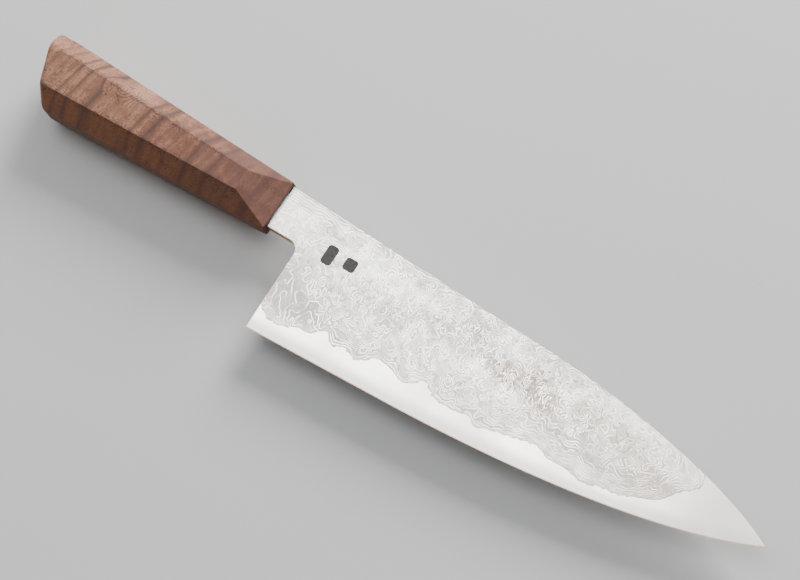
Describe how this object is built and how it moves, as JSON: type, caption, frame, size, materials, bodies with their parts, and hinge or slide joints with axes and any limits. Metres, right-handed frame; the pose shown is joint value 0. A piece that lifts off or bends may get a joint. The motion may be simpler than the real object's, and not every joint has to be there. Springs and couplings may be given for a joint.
{
  "type": "chef knife",
  "caption": "Japanese-style chef knife: tall laminated blade with a bare core edge and patterned cladding, hidden tang and tapered octagonal wooden handle.",
  "frame": {"origin": "the knife lies on its left side: on the worktop, at the middle of the overall length and halfway between the heel of the cutting edge and the back of the handle", "axes": "+X from the handle to the tip, +Y from the cutting edge to the spine, and +Z out of the right face of the blade, the side with the two stamp recesses"},
  "size_m": [0.3358, 0.061, 0.0251],
  "materials": {
    "core_steel": "satin, brushed lengthwise",
    "cladding": "etched pattern-welded layers",
    "handle_wood": "oiled figured walnut, matt",
    "epoxy": "set epoxy"
  },
  "bodies": {
    "root": {"core_steel": "core_steel", "cladding_right": "cladding", "cladding_left": "cladding", "handle_body": "handle_wood", "tang_adhesive": "epoxy"}
  },
  "joints": []
}
